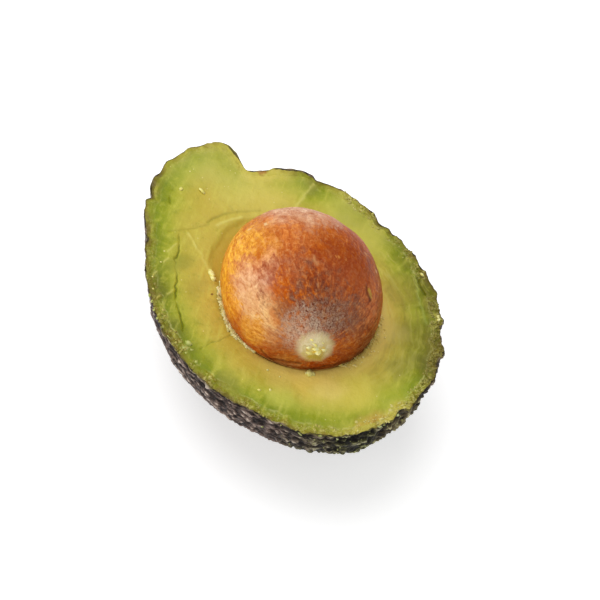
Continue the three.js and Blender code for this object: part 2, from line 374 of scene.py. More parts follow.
class Growth(Bench):
    """A geometry tree while it is being wired. Its sizes are named inputs, and mostly numbers."""

    def __init__(self, name, *numbers, **others):
        tree = bpy.data.node_groups.new(name, "GeometryNodeTree")
        super().__init__(tree, "GeometryNodeInputPosition", 0)
        kinds = {"Geometry": "Geometry", **dict.fromkeys(numbers, "Float"), **others, "Finish": "Material"}
        for label, kind in kinds.items():
            tree.interface.new_socket(label, in_out="INPUT", socket_type=f"NodeSocket{kind}")
        tree.interface.new_socket("Geometry", in_out="OUTPUT", socket_type="NodeSocketGeometry")
        self.entry = tree.nodes.new("NodeGroupInput")

    def input(self, label):
        return Wire(self, self.entry.outputs[label])

    def attribute(self, name, data_type="FLOAT"):
        return self.node("GeometryNodeInputNamedAttribute", {"Name": name}, data_type=data_type)

    def random_vector(self, low, high):
        """A vector for each point, between low and high."""
        sockets = {0: low, 1: high, "Seed": self.input("Seed")}
        return self.node("FunctionNodeRandomValue", sockets, data_type="FLOAT_VECTOR")

    def random_size(self, power):
        """A width for each point from the least to the most. With a high power, most are small."""
        least, most = self.input("Least Size"), self.input("Most Size")
        share = self.node("FunctionNodeRandomValue", {2: 0.0, 3: 1.0, "Seed": self.input("Seed")}, 1)
        return least + (most - least) * share**power

    def end(self, geometry):
        realized = self.node("GeometryNodeRealizeInstances", {"Geometry": geometry})
        finish = {"Geometry": realized, "Material": self.input("Finish")}
        painted = self.node("GeometryNodeSetMaterial", finish)
        way_out = self.tree.nodes.new("NodeGroupOutput")
        self.tree.links.new(painted.socket, way_out.inputs[0])
        return self.tree


def paint(red, green, blue):
    """A colour given as it looks on a screen, 0 to 255, for a socket."""
    levels = (((c / 255 + 0.055) / 1.055) ** 2.4 if c > 10 else c / 3295 for c in (red, green, blue))
    return (*levels, 1.0)


def stray(noise, reach):
    """A noise about 0.5 as a distance about 0, with its reach from end to end in millimetres."""
    return (noise - 0.5) * (reach * MM)


# ---- The fruit's shape ----

LATTICE_PRIMES = (73856093, 19349663, 83492791)
LATTICE_SALT = 2654435761
LATTICE_STIR = 1274126177


def directions(turn, rise):
    """Unit vectors from turns from +X and rises, in radians."""
    turn, rise = np.broadcast_arrays(turn, rise)
    return np.stack([np.cos(rise) * np.cos(turn), np.cos(rise) * np.sin(turn), np.sin(rise)], -1)


def towards(turn, rise):
    """A unit vector from a turn from +X and a rise, in degrees."""
    return directions(math.radians(turn), math.radians(rise))


def smooth(value, low, high):
    """0 at low, 1 at high and smooth between. A low above high turns it round."""
    t = np.clip((value - low) / (high - low), 0, 1)
    return t * t * (3 - 2 * t)


def ridge(points, line, half_width):
    """1 on a line, fading out at its sides and ends. A line of number pairs is seen from above."""
    points = points[..., : line.shape[-1]]
    nearest = np.full(points.shape[:-1], 1.0)
    for start, end in zip(line[:-1], line[1:]):
        span = end - start
        t = np.clip(((points - start) @ span) / (span @ span), 0, 1)
        away = points - start - t[..., None] * span
        nearest = np.minimum(nearest, np.linalg.norm(away, axis=-1))
    return np.exp(-((nearest / half_width) ** 2))


def lattice_number(cell, salt):
    """A repeatable number from 0 to 1 for each whole-numbered cell of space."""
    x, y, z = (cell[..., axis] * prime for axis, prime in enumerate(LATTICE_PRIMES))
    mixed = x ^ y ^ z ^ (salt * LATTICE_SALT)
    mixed = (mixed ^ (mixed >> 13)) * LATTICE_STIR & 0xFFFFFFFF
    return ((mixed ^ (mixed >> 16)) & 0xFFFF) / 0xFFFF


def soft_noise(points, size, salt):
    """Smooth noise from -1 to 1, with humps of about that size in millimetres."""
    place = points / (size * MM)
    home = np.floor(place).astype(np.int64)
    t = place - home
    t = t * t * (3 - 2 * t)
    total = 0
    for corner in np.ndindex(2, 2, 2):
        weight = np.where(corner, t, 1 - t).prod(-1)
        total = total + weight * lattice_number(home + np.array(corner), salt)
    return 2 * total - 1


def rough_noise(points, size, salt, octaves=3):
    return sum(soft_noise(points, size / 2**k, salt + k) / 2**k for k in range(octaves))


def outline_reach(turn):
    """How far the outline reaches at a turn in radians: a smooth closed curve through OUTLINE_REACH."""
    count = len(OUTLINE_REACH)
    place = turn / (2 * math.pi) * count
    first = np.floor(place).astype(int)
    t = place - first
    before, a, b, after = (OUTLINE_REACH[(first + step) % count] for step in (-1, 0, 1, 2))
    bend = 2 * before - 5 * a + 4 * b - after + t * (3 * (a - b) + after - before)
    return a + 0.5 * t * (b - before + t * bend) + EDGE_FLARE


def chips(turn):
    """How far the cut edge stands out of the smooth outline at a turn in radians."""
    turns, tenths = np.array(CHIPS + [(360, CHIPS[0][1])]).T
    degrees = np.degrees(turn) % 360
    before = np.searchsorted(turns, degrees, "right") - 1
    t = smooth(degrees, turns[before], turns[before + 1])
    out = 0.1 * MM * (tenths[before] + t * (tenths[before + 1] - tenths[before])) - EDGE_FLARE
    return out + EDGE_ROUGHNESS * rough_noise(NOISE_RING * directions(turn, 0.0), 1.6, 15, octaves=2)


def stem_hollow(points, inset):
    away = points - STEM
    inward = towards(STEM_INWARD_TURN, 0)
    along_rim = away[..., 0] * inward[1] - away[..., 1] * inward[0]
    spread = np.where(along_rim > 0, STEM_HOLLOW_TO_TIP, STEM_HOLLOW_TO_SIDE) + inset
    steep = (along_rim / spread) ** 2 + (away[..., 2] / STEM_HOLLOW_DOWN) ** 2
    return np.exp(-steep - (away @ inward / STEM_HOLLOW_REACH) ** 2)


def fruit_points(turn, dip, inset=0.0):
    """Points of the smooth fruit at turns, and dips below its middle plane, in radians."""
    turn, dip = np.broadcast_arrays(turn, dip)
    reach = outline_reach(turn) * np.cos(dip) ** FULLNESS
    reach = reach + chips(turn) * smooth(dip, RIM_DIP + CHIP_DIP, RIM_DIP)
    drop = HALF_DEPTH * np.sin(dip) ** FULLNESS
    height = CUT_HEIGHT + MIDDLE_ABOVE_CUT - drop
    points = np.stack([reach * np.cos(turn), reach * np.sin(turn), height], -1)
    points += STEM_HOLLOW_DEPTH * stem_hollow(points, inset)[..., None] * towards(STEM_INWARD_TURN, 0)
    return points - inset * directions(turn, -dip)


RIM_DIP = math.asin((MIDDLE_ABOVE_CUT / HALF_DEPTH) ** (1 / FULLNESS))
SPOKES = 680
SPOKE_TURNS = np.linspace(0, 2 * math.pi, SPOKES, endpoint=False)[None]
SPOKE_WAYS = directions(SPOKE_TURNS, 0.0)


def dips(parts, short):
    """Dips from the rim's to the back's, for parts of the way, ending that many radians short."""
    return RIM_DIP + (math.pi / 2 - short - RIM_DIP) * np.array(parts)[:, None]


def spans(places):
    """The sum of humps round the spokes: for each its turn and half width in degrees, and its height."""
    degrees = np.degrees(SPOKE_TURNS)
    away = [(degrees - middle + 180) % 360 - 180 for middle, *_ in places]
    return MM * sum(height * np.exp(-((a / half) ** 2)) for a, (_, half, height) in zip(away, places))


def round_the_rim(numbers):
    """A number for each spoke, between numbers that are given at equal turns from +X."""
    return np.interp(SPOKE_TURNS, np.linspace(0, 2 * math.pi, len(numbers) + 1), numbers + numbers[:1])


# ---- Meshes ----


def name_values(mesh, values):
    """Stores a number or a vector for each point of a mesh, under each name."""
    for name, numbers in values.items():
        kind, key = ("FLOAT_VECTOR", "vector") if numbers.ndim > 1 else ("FLOAT", "value")
        mesh.attributes.new(name, kind, "POINT").data.foreach_set(key, numbers.ravel())


def open_mesh(name, points, edges=(), faces=(), **values):
    mesh = bpy.data.meshes.new(name)
    mesh.from_pydata(points, edges, faces)
    name_values(mesh, values)
    return mesh


def ring_quads(here):
    """The faces between rings of points, from the points' numbers, a row for each ring."""
    beside = np.roll(here, -1, axis=1)
    return np.stack([here[:-1], beside[:-1], beside[1:], here[1:]], -1).reshape(-1, 4).tolist()


def closed_mesh(name, rows, **values):
    """A closed mesh from rings of points, from one pole to the other, with values for its points."""
    rings, spokes = rows.shape[:2]

    def with_poles(grid):
        return np.concatenate([grid[:1].mean(1), grid.reshape(-1, *grid.shape[2:]), grid[-1:].mean(1)])

    here = 1 + np.arange(rings * spokes).reshape(rings, spokes)
    last = here[-1, -1] + 1
    first_fan = np.stack([np.roll(here[0], -1), here[0], np.zeros(spokes, int)], -1)
    last_fan = np.stack([here[-1], np.roll(here[-1], -1), np.full(spokes, last)], -1)
    faces = ring_quads(here) + first_fan.tolist() + last_fan.tolist()
    values = {key: with_poles(grid) for key, grid in values.items()}
    mesh = open_mesh(name, with_poles(rows), faces=faces, **values)
    mesh.shade_smooth()
    return mesh


def new_object(data):
    """An object with the name of its mesh, lamp or camera."""
    made = bpy.data.objects.new(data.name, data)
    bpy.context.scene.collection.objects.link(made)
    return made


def set_piece(piece, slot, node=None):
    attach(piece, "root")
    if node:
        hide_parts(node)


def grow(mesh, tree, slot, node=None, **values):
    """Makes a piece of what a geometry tree makes from a mesh, as a plain mesh."""
    piece = new_object(mesh)
    growth = piece.modifiers.new("growth", "NODES")
    growth.node_group = tree
    for item in tree.interface.items_tree:
        key = item.name.replace(" ", "_")
        if item.in_out == "INPUT" and key in values:
            growth[item.identifier] = values[key]
    bpy.context.view_layer.update()
    grown = piece.evaluated_get(bpy.context.evaluated_depsgraph_get())
    grown_mesh = bpy.data.meshes.new_from_object(grown)
    piece.modifiers.remove(growth)
    piece.data = grown_mesh
    grown_mesh.shade_smooth()
    set_piece(piece, slot, node)


# ---- The peel ----

PEBBLE_SIZE = 2.1 * MM
PEBBLE_SQUASH = 0.58  # how low a pebble is on the steep sides, against its width
PEBBLE_HEIGHT = 1.0 * MM
PEEL_LUMP_SIZE = 5.5
PEEL_LUMP_HEIGHT = 0.45 * MM
PEEL_ROWS = 116  # from the back to the rim
PEEL_ROW_CROWDING = 1.25  # towards the rim
PEEL_EDGE_ROWS = 11  # across the cut edge
PEEL_EDGE_DROOP = 0.15 * MM
PEEL_DARK_FADE = 0.07 * MM
BACK_HOLE = 0.004  # radians from the last ring to the pole
INNER_HOLE = 0.02  # the same for walls that aren't seen
STEP_DOWN = 0.03 * MM  # from a cut edge to the first ring of such a wall
# How uneven the cut is: all over, and in the rough band along the peel.
WAVES = 0.10 * MM
GRAIN = 0.03 * MM
LEAST_ROUGHNESS = 0.12 * MM
CRUMBLY_ROUGHNESS = 0.4 * MM
DARK_BITS = 0.35 * MM  # of skin on the cut edge
# The pulp's colours from the peel inwards, by parts of PULP_RANGE.
PULP_RANGE = 16 * MM
PULP_COLOURS = [
    (0.0, (106, 94, 28)), (0.04, (130, 124, 34)), (0.08, (138, 142, 26)), (0.18, (124, 140, 10)),
    (0.26, (138, 150, 12)), (0.40, (166, 169, 44)), (0.60, (184, 172, 60)), (0.9, (195, 175, 68)),
]


def pulp_colour(finish, clouds, blotches):
    """The pulp's colours, olive, green and yellow, and its strands' height."""
    fade, attribute = finish.fade, finish.attribute
    from_peel, crumbly = attribute("from_peel"), attribute("crumbly")
    wander = stray(clouds, 3.5) + stray(blotches, 2.5)
    inwards = from_peel + wander
    stops = [(place, paint(*colour)) for place, colour in PULP_COLOURS]
    body = finish.node("ShaderNodeValToRGB", {"Fac": inwards / PULP_RANGE}, stops=stops)
    strands = finish.noise(0.8, detail=4, roughness=0.6, twist=0.6)
    rough = fade(from_peel + stray(clouds, 3) + stray(strands, 1.5), 2.7 * MM, 2.0 * MM) * crumbly
    # lip: a pale line along the rough band's inner edge, partly pale pulp and partly painted highlight.
    lip = from_peel + stray(clouds, 3) + stray(blotches, 0.8)
    lip = fade(abs(lip - 2.6 * MM), 0.45 * MM, 0.0) * fade(strands, 0.4, 0.54) * crumbly
    body = finish.coats(
        body,
        (fade(attribute("from_seed") - wander, 9 * MM, 0.0) * 0.7, (196, 160, 56)),
        (fade(inwards, 5.5 * MM, 1.5 * MM) * attribute("bright") * 0.85, (208, 194, 84)),
        (fade(inwards, 8 * MM, 2 * MM) * attribute("dark") * 0.75, (88, 78, 22)),
        (fade(blotches, 0.52, 0.75) * 0.3, (210, 204, 84)),
        (fade(blotches, 0.46, 0.3) * 0.25, (124, 128, 28)),
        (fade(blotches, 0.49, 0.4) * rough * 0.5, (146, 106, 48)),
        (fade(strands, 0.48, 0.6) * rough * (0.85 - 0.6 * attribute("dark")), (208, 200, 122)),
        (fade(strands, 0.47, 0.37) * rough * 0.5, (116, 98, 36)),
        (lip * 0.6, (216, 212, 138)),
    )
    return body, (strands + 0.5 * lip) * rough


def clouds_and_blotches(finish):
    return finish.noise(8), finish.noise(1.8, detail=5, roughness=0.6)


def peel_finish():
    """Blackish brown with painted highlights and shade on its wrinkles, and pulp on the inner part of its
    cut edge.
    """
    finish = Finish("peel", Specular_IOR_Level=0.12, Coat_Roughness=0.22)
    fade, spot, coats = finish.fade, finish.spot, finish.coats
    lengthwise = finish.attribute("lengthwise", "Vector")
    hue = finish.noise(6)
    wrinkles = finish.noise(1.0, twist=0.6, place=lengthwise)
    fine = finish.noise(0.6, detail=4, roughness=0.65, place=lengthwise)
    raised = 0.6 * finish.attribute("pebble") + 0.45 * finish.attribute("wrinkle")
    raised = raised + 1.3 * (fine - 0.5) + 1.5 * (wrinkles - 0.5)
    mossy = spot(MOSSY_SIDE, 10, 25, stray(hue, 16))
    # The corner is painted light where the lamps leave it in shade, over the peel's own brown.
    corner = spot(BROWN_AND_PAINTED_LIGHT_CORNER, 3, 10, stray(hue, 8))
    dark = coats(paint(54, 42, 38), (mossy, (24, 23, 14)), (corner * 0.75, (88, 74, 52)))
    # Paler raised parts: half_lit is partly the skin's own tone and partly painted highlight; lit is a
    # painted highlight on the crests.
    half_lit = coats(paint(148, 126, 114), (mossy, (90, 90, 44)), (corner * 0.8, (150, 136, 94)))
    lit = coats(paint(204, 184, 166), (mossy, (178, 174, 118)), (corner, (232, 220, 164)))
    height = finish.height()
    # The painted highlight fades further down the wall.
    high = 0.15 + 0.85 * fade(height, CUT_HEIGHT - 18 * MM, CUT_HEIGHT - 6 * MM)
    crests = fade(raised, 0.76, 1.04) * fade(fine, 0.45, 0.55) * high
    outer = finish.blend(fade(raised, 0.36, 0.94) * 0.75, dark, half_lit)
    outer = finish.blend(crests * (0.85 - 0.15 * mossy), outer, lit)
    dots = fade(finish.cells(1.1), 0.28, 0.13) * mossy * fade(wrinkles, 0.48, 0.55)
    under_cut = fade(height + stray(wrinkles, 3), CUT_HEIGHT - 0.7 * MM, CUT_HEIGHT - 0.3 * MM)
    outer = coats(
        outer,
        # Painted shade in the creases between pebbles and wrinkles.
        (fade(raised, 0.4, 0.05) * 0.85, (16, 11, 10)),
        (fade(fine, 0.46, 0.38) * 0.7, (18, 12, 11)),
        (dots * 0.85, (186, 190, 110)),
        (under_cut * fade(fine, 0.44, 0.54) * 0.7, (122, 112, 50)),
    )
    clouds, blotches = clouds_and_blotches(finish)
    edge, strands = pulp_colour(finish, clouds, blotches)
    edge = coats(edge, (spot(STEM_SCAR, 0.4, 1.6, stray(blotches, 3)) * 0.8, (168, 112, 52)))
    ragged = finish.attribute("skin") + 1.2 * (wrinkles - 0.5) + 0.8 * (strands - 0.5)
    skin = fade(ragged, 0.3, 0.7)
    relief = skin * (0.4 * wrinkles + 1.2 * fine) + (1 - skin) * (0.35 * blotches + 1.2 * strands)
    finish.wire(
        Base_Color=finish.blend(skin, edge, outer),
        Coat_Weight=skin * (0.8 * crests + 0.5 * dots),
        Roughness=0.34 + skin * (0.1 + 0.4 * (fine - 0.5)),
        Normal=finish.bump(relief, 0.4),
    )
    return finish.material


def pebble_growth():
    """Raises pebbles and wrinkles along the outward vectors, and keeps the pebbles' height."""
    growth = Growth("pebbled peel", "Pebble Size", "Height", Squash="Vector")
    vector, place = growth.vector, growth.place
    wander = vector("SCALE", growth.noise(3.5, detail=2, roughness=0.5, output="Color"), 2.4 * MM)
    squashed = vector("MULTIPLY", vector("ADD", place, wander), growth.input("Squash"))
    sockets = {"Vector": squashed, "Scale": 1 / growth.input("Pebble Size"), "Smoothness": 0.3}
    pebble = growth.fade(growth.node("ShaderNodeTexVoronoi", sockets, feature="SMOOTH_F1"), 0.8, 0.15)
    lengthwise = growth.attribute("lengthwise", "FLOAT_VECTOR")
    wrinkle = growth.noise(1.4, detail=1, roughness=0.5, twist=0.6, place=lengthwise)
    wrinkle = growth.fade(abs(wrinkle - 0.5), 0.12, 0.0)
    bold = growth.spot(MOSSY_SIDE, 15, 45)
    height = (0.45 + 0.35 * bold) * pebble + (0.65 - 0.25 * bold) * wrinkle - 0.6
    height = height * (0.6 + 0.6 * bold) * growth.input("Height")
    outward = growth.attribute("outward", "FLOAT_VECTOR")
    moved = vector("ADD", place, vector("SCALE", outward, height))
    above_floor = vector("MAXIMUM", moved, (-1.0, -1.0, 0.0))
    kept = growth.input("Geometry")
    for name, value in (("pebble", pebble), ("wrinkle", wrinkle)):
        sockets = {"Geometry": kept, "Name": name, "Value": value}
        kept = growth.node("GeometryNodeStoreNamedAttribute", sockets, data_type="FLOAT", domain="POINT")
    return growth.end(growth.node("GeometryNodeSetPosition", {"Geometry": kept, "Position": above_floor}))


AROUND = NOISE_RING * SPOKE_WAYS
CRUMBLY = round_the_rim(RIM_CRUMBS) * smooth(rough_noise(AROUND, 3, 35), -0.9, 0.4)


def rim_values(from_peel):
    """What the pulp's finish reads, for rings of points at their distances from the peel."""
    tone = round_the_rim(RIM_TONE) + 0.35 * rough_noise(AROUND, 7, 39)
    all_rows = np.ones((len(from_peel), 1))
    lengthwise = LENGTHWISE_RING * SPOKE_WAYS * all_rows[..., None]
    lengthwise[..., 2] = from_peel
    return {
        "from_peel": from_peel * np.ones_like(SPOKE_TURNS),
        "crumbly": CRUMBLY * all_rows,
        "bright": np.clip(tone, 0, 1) * all_rows,
        "dark": np.clip(-tone, 0, 1) * all_rows,
        "lengthwise": lengthwise,
    }


def cut_relief(points, from_outline):
    """The cut's unevenness: slight waves, and a rough band along the peel."""
    waves = WAVES * rough_noise(points, 6, 23) + GRAIN * rough_noise(points, 1.6, 27)
    rough = LEAST_ROUGHNESS + CRUMBLY_ROUGHNESS * CRUMBLY
    return waves + rough * rough_noise(points, 1.3, 31) * smooth(from_outline, 3.0 * MM, 1.6 * MM)


def peel_mesh():
    """The smooth peel: its outside from the back to the rim, its cut edge, and its inside."""
    down = dips(np.linspace(1, 0, PEEL_ROWS) ** PEEL_ROW_CROWDING, BACK_HOLE)
    outside = fruit_points(SPOKE_TURNS, down)
    below_rim = CUT_HEIGHT - outside[..., 2]
    swell = smooth(below_rim, -1 * MM, 5 * MM)
    lumps = PEEL_LUMP_HEIGHT * rough_noise(outside, PEEL_LUMP_SIZE, 3, octaves=2)
    bulge = spans(SWELLS) * smooth(below_rim, 0.5 * MM, 5 * MM)
    bulge = bulge * smooth(below_rim, 26 * MM, 12 * MM)
    outward = directions(SPOKE_TURNS, -down)
    outside += (lumps * swell + bulge)[..., None] * outward
    rim_inside = fruit_points(SPOKE_TURNS, RIM_DIP, PEEL_THICKNESS)[0]
    across = np.append(np.linspace(0.08, 0.975, PEEL_EDGE_ROWS - 1), 0.995)[:, None]
    edge = outside[-1] + (rim_inside - outside[-1]) * across[..., None]
    edge[..., 2] = CUT_HEIGHT
    edge[..., 2] += cut_relief(edge, PEEL_THICKNESS * across) - PEEL_EDGE_DROOP * (1 - across) ** 4
    inside = fruit_points(SPOKE_TURNS, dips([0.001, 0.1, 0.3, 0.5, 0.75, 1], INNER_HOLE), PEEL_THICKNESS)
    inside[0, :, 2] = edge[-1, :, 2] - STEP_DOWN
    patches = rough_noise(AROUND, 2.5, 19) + soft_noise(AROUND, 0.8, 20)
    bits = DARK_BITS * CRUMBLY * np.clip(rough_noise(AROUND, 1.2, 18), 0, 1)
    thickness = PEEL_DARK_THICKNESS * (1 + 0.8 * patches) + bits + spans(DARK_SPANS)
    dark = smooth(PEEL_THICKNESS * across, thickness + PEEL_DARK_FADE, thickness - PEEL_DARK_FADE)
    wall = 1 + smooth(below_rim, 0.2 * MM, 1.2 * MM)
    outward = outward * (0.55 + 0.45 * smooth(below_rim, 0, 1.5 * MM))[..., None]
    on_edge = 0.25 * ((1 - across)[..., None] * SPOKE_WAYS)
    across_rows = PEEL_THICKNESS * across * np.ones_like(SPOKE_TURNS)
    depth = np.concatenate([-below_rim, across_rows, np.full(inside.shape[:2], PEEL_THICKNESS)])
    values = {
        "skin": np.concatenate([wall, dark, np.zeros(inside.shape[:2])]),
        "outward": np.concatenate([outward, on_edge, np.zeros_like(inside)]),
        "from_seed": np.full(depth.shape, PULP_RANGE),
        **rim_values(depth),
    }
    return closed_mesh("peel_shell", np.concatenate([outside, edge, inside]), **values)


def make_peel():
    sizes = {"Pebble_Size": PEBBLE_SIZE, "Height": PEBBLE_HEIGHT}
    sizes["Squash"] = Vector((1.0, 1.0, 1 / PEBBLE_SQUASH))
    grow(peel_mesh(), pebble_growth(), "peel", "peel", **sizes, Finish=peel_finish())


# ---- The flesh ----

MOIST = {"Subsurface_Weight": 0.12, "Subsurface_Radius": (1.0, 0.9, 0.3), "Subsurface_Scale": 0.8 * MM}
SEAM_RISE = -math.asin((SEED_CENTRE[2] - CUT_HEIGHT) / SEED_RADIUS)  # where the seed enters the flesh
SWATHE_TURN = 52
SWATHE_LENGTH = 4  # against a swathe's width
FACE_ROWS = 110  # from the rim to the seam
SEAM_DROOP = 0.25 * MM
HOLLOW_ROWS = 20


def flesh_finish():
    """Olive and green under the peel and warm yellow round the seed, moist, with faint fibres."""
    finish = Finish("flesh", Specular_IOR_Level=0.12, **MOIST)
    fade, spot, attribute = finish.fade, finish.spot, finish.attribute
    clouds, blotches = clouds_and_blotches(finish)
    fibres = finish.noise(1.8, detail=4, place=attribute("flow", "Vector"))
    turned = {"Vector": finish.place, "Rotation": (0.0, 0.0, math.radians(SWATHE_TURN))}
    drawn = {"Vector": finish.node("ShaderNodeMapping", turned), "Scale": (1 / SWATHE_LENGTH, 1.0, 1.0)}
    swathes = finish.noise(1.6, detail=4, roughness=0.6, place=finish.node("ShaderNodeMapping", drawn))
    long_way = finish.vector("MULTIPLY", attribute("lengthwise", "Vector"), (0.4, 0.4, 1.0))
    bands = finish.noise(1.4, roughness=0.6, place=long_way)
    body, strands = pulp_colour(finish, clouds, blotches)
    banded, from_seed = spot(BANDED_SIDE, 10, 30), attribute("from_seed")
    coats = [
        (fade(bands, 0.5, 0.64) * banded * 0.5, (206, 198, 98)),
        (fade(bands, 0.5, 0.36) * banded * 0.4, (136, 124, 44)),
        (fade(fibres, 0.5, 0.75) * 0.2, (212, 206, 88)),
        (fade(swathes, 0.5, 0.72) * 0.35, (212, 206, 88)),
        (attribute("dish") * 0.4, (196, 152, 40)),
    ]
    # Broad tints, some of them painted light beside the seed and painted shade near the rim.
    for x, y, reach, strength, colour in FLESH_TINTS_AND_PAINTED_LIGHT:
        tint = spot((x * MM, y * MM, CUT_HEIGHT), 0.2 * reach, reach, stray(clouds, 8))
        coats.append((tint * strength, colour))
    # Painted light: the flesh beside the seed is painted lighter where the seed's shadow falls.
    seam_painted_light = spot(SEAM_PAINTED_LIGHT, 14, 28) * fade(from_seed, 6 * MM, 0.3 * MM)
    specks = fade(finish.cells(2.0), 0.12, 0.05) * fade(clouds, 0.49, 0.58)
    coats += [
        (seam_painted_light * 0.7, (255, 228, 124)),
        (fade(from_seed + stray(blotches, 3), 2.4 * MM, 0.4 * MM) * 0.3, (184, 154, 84)),
        (specks * 0.6, (226, 216, 140)),
        # fold: painted shade along the fold of the cut face.
        (attribute("fold") * 0.75, (130, 122, 28)),
        # crest: pale ridges of the cut, partly pale pulp and partly painted highlight.
        (attribute("crest") * 0.6, (222, 214, 116)),
        (attribute("green_line") * 0.35, (170, 186, 88)),
        (attribute("crack") * 0.9, (92, 100, 18)),
        (spot(BROWN_DOT, 0.2, 0.45) * 0.85, (110, 62, 26)),
        (spot(STEM_SCAR, 0.6, 2.0, stray(blotches, 3)) * 0.6, (168, 122, 54)),
    ]
    relief = 0.5 * fibres + 0.6 * swathes + 0.5 * bands + 0.8 * blotches + 3.0 * strands
    finish.wire(
        Base_Color=finish.coats(body, *coats),
        Roughness=0.32 + 0.3 * (blotches - 0.5),
        Normal=finish.bump(relief, 0.16),
    )
    return finish.material


def seed_points(direction, outset):
    """Points of the seed in unit directions from its middle, set out by some distance."""
    to_scar = np.arccos(np.clip(direction @ towards(*SEED_SCAR), -1, 1)) * SEED_RADIUS / SEED_SCAR_RADIUS
    scar = SEED_SCAR_HEIGHT * np.exp(-(to_scar**4))
    along = direction @ towards(*SEED_AXIS)
    points = SEED_CENTRE + direction * (SEED_RADIUS + scar + outset)[..., None]
    return points + (SEED_HALF_LENGTH - SEED_RADIUS) * along[..., None] * towards(*SEED_AXIS)


def dish_depth(points):
    """How far a point of the cut face lies into the dish beside the seed: 0 outside, 1 at its floor."""
    from_seed = points[..., :2] - SEED_CENTRE[:2]
    turn = np.arctan2(from_seed[..., 1], from_seed[..., 0])
    turns = turn[..., None] + np.radians([-9, -3, 3, 9])
    reach = np.interp(turns, DISH_TURNS, DISH_REACH).mean(-1) + 0.5 * MM * soft_noise(points, 3, 21)
    inside = reach - np.linalg.norm(from_seed, axis=-1)
    return 0.35 * smooth(inside, -0.3 * MM, 1.6 * MM) + 0.65 * smooth(inside, 0, 8 * MM)


def cut_marks(face, dish):
    """The marks on the cut face: what its finish reads, and how high they and the dish lie."""
    bent = face + (WANDER * soft_noise(face, 1.1, 22))[..., None]
    crack = ridge(bent, CRACK, 0.21 * MM) * smooth(soft_noise(face, 2.5, 24), -0.9, 0.4)
    split = ridge(bent, SPLIT, 0.14 * MM)
    nick = ridge(face, NICK, 0.22 * MM)
    broken = ridge(bent, EDGE_BREAK, 0.35 * MM)
    fold = ridge(bent, FOLD, 0.42 * MM) * smooth(soft_noise(face, 3, 25), -1.2, 0.6)
    fold = np.maximum(fold, 0.45 * ridge(bent, CREASE, 0.25 * MM))
    crest = ridge(bent, FOLD_CREST, 0.4 * MM)
    scrape = ridge(bent, SCRAPE, 0.36 * MM) * (0.35 + 0.65 * smooth(soft_noise(face, 2, 26), -0.5, 0.5))
    strokes = sum(ridge(bent, line, 0.26 * MM) for line in DASHES) + 0.9 * ridge(bent, STROKE, 0.4 * MM)
    green_line = ridge(bent, GREEN_LINE, 0.35 * MM)
    height = -DISH_DEPTH * dish - 0.5 * MM * crack - 0.2 * MM * split - 0.25 * MM * nick - 0.6 * MM * broken
    height += 0.12 * MM * (crest + strokes) + 0.16 * MM * scrape + 0.12 * MM * green_line - 0.2 * MM * fold
    values = {
        "crack": np.clip(0.85 * crack + 0.35 * split + 0.25 * nick + 0.45 * broken, 0, 1),
        "fold": fold,
        "crest": np.clip(crest + scrape + 0.8 * strokes, 0, 1),
        "green_line": green_line,
    }
    return values, height


def flesh_rows():
    """The cut face's rings of points from the rim to the seed, and the values that its finish reads."""
    rim = fruit_points(SPOKE_TURNS, RIM_DIP, PEEL_THICKNESS + PEEL_TO_FLESH)[0]
    seam = seed_points(directions(SPOKE_TURNS[0], SEAM_RISE), SEED_TO_FLESH)
    across = np.concatenate([[0, 0.0008], np.linspace(0.03, 1, FACE_ROWS) ** 1.3])[:, None]
    face = rim + (seam - rim) * across[..., None]
    face[..., 2] = CUT_HEIGHT
    from_rim = np.stack([np.linalg.norm(ring[:, None] - rim[None], axis=-1).min(1) for ring in face])
    dish = dish_depth(face)
    marks, height = cut_marks(face, dish)
    height += cut_relief(face, from_rim + PEEL_THICKNESS)
    height -= SEAM_DROOP * smooth(across, 0.975, 1.0) * (1 - dish)
    face[..., 2] += height
    strewn = smooth(from_rim, 1.9 * MM, 0.7 * MM) * smooth(CRUMBLY, 0.05, 0.5)
    return face, {
        **rim_values(from_rim + PEEL_THICKNESS),
        "from_seed": np.linalg.norm(face - seam, axis=-1),
        "dish": smooth(dish, 0.0, 0.7),
        **marks,
        "strewn": strewn * round_the_rim(RIM_STREWN),
    }


def make_flesh(face, values):
    """The flesh: its outside under the peel, the cut face, and the hollow for the seed."""
    down = dips([1, 0.85, 0.65, 0.45, 0.25, 0.1, 0.001], INNER_HOLE)
    outside = fruit_points(SPOKE_TURNS, down, PEEL_THICKNESS + PEEL_TO_FLESH)
    outside[-1, :, 2] = face[0, :, 2] - STEP_DOWN
    rises = np.linspace(SEAM_RISE - 0.06, -math.pi / 2 + 0.03, HOLLOW_ROWS)[:, None]
    hollow = seed_points(directions(SPOKE_TURNS, rises), SEED_TO_FLESH)
    rows = np.concatenate([outside, face, hollow])

    def on_all_rows(grid):
        return np.pad(grid, [(len(outside), len(hollow))] + [(0, 0)] * (grid.ndim - 1), mode="edge")

    values = {key: on_all_rows(grid) for key, grid in values.items()}
    flow = FLOW_RING * SPOKE_WAYS * np.ones((len(rows), 1, 1))
    flow[..., 2] = 0.22 * values["from_peel"]
    mesh = closed_mesh("flesh_half", rows, flow=flow, **values)
    mesh.materials.append(flesh_finish())
    set_piece(new_object(mesh), "flesh", "flesh")


# ---- Crumbs and lumps of pulp ----

CRUMBS_PER_SQUARE_METRE = 4.5e6
LEAST_CRUMB = 0.2 * MM
RIM_BAND_ROWS = 20  # of the cut face's rings, that crumbs lie on
